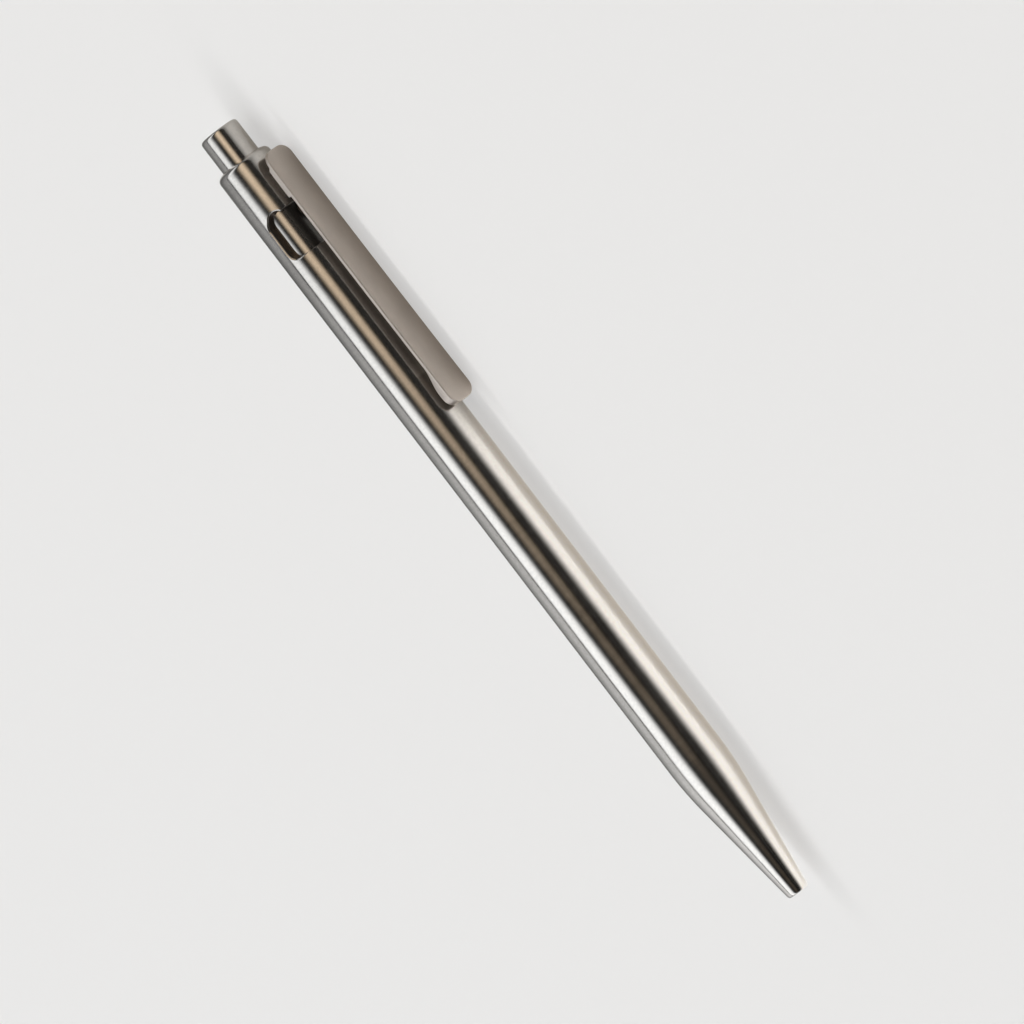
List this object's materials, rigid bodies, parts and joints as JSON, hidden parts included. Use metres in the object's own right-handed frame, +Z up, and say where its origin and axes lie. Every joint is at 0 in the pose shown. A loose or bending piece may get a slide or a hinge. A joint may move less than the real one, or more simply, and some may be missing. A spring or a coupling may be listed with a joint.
{
  "type": "bolt action pen",
  "caption": "Slim metal ballpoint pen with a tapered nose, a round push button, a flat side clip and a hooked slot in which a low bolt slides and turns.",
  "frame": {"origin": "middle of the pen's box, on the table that the pen lies on", "axes": "+X along the pen from the nose to the button, +Z up from the table, -Y on the clip's side"},
  "size_m": [0.1398, 0.0122, 0.009],
  "materials": {
    "satin_steel": "satin turned stainless steel",
    "clip_steel": "fine blasted stainless steel",
    "spring_steel": "bright drawn steel",
    "brass": "turned brass",
    "carbide": "polished carbide",
    "white_acetal": "turned acetal",
    "grey_nylon": "moulded nylon",
    "black_rubber": "moulded rubber",
    "blue_ink": "thick ballpoint ink"
  },
  "bodies": {
    "pen_body": {"barrel": "satin_steel", "clip": "clip_steel", "clip_post": "clip_steel", "clip_pin_rear": "spring_steel", "clip_pin_front": "spring_steel", "return_spring": "spring_steel"},
    "refill_set": {"refill_tube": "spring_steel", "refill_plug": "grey_nylon", "refill_ink": "blue_ink", "refill_ferrule": "brass", "refill_tip": "spring_steel", "refill_ball": "carbide"},
    "bolt_set": {"plunger": "satin_steel", "bolt": "satin_steel", "plunger_ring_rear": "black_rubber", "plunger_ring_front": "black_rubber", "refill_pusher": "white_acetal"}
  },
  "joints": [
    {"name": "press", "type": "slide", "parent": "pen_body", "child": "refill_set", "axis": [-1, 0, 0], "range_m": [0, 0.0042], "stiffness_N_per_m": 150, "springref_m": -0.006, "deforming": ["return_spring"]},
    {"name": "turn", "type": "hinge", "parent": "refill_set", "child": "bolt_set", "pos_m": [0.05323, 0.00164, 0.0045], "axis": [-1, 0, 0], "range_deg": [-45, 82]}
  ]
}
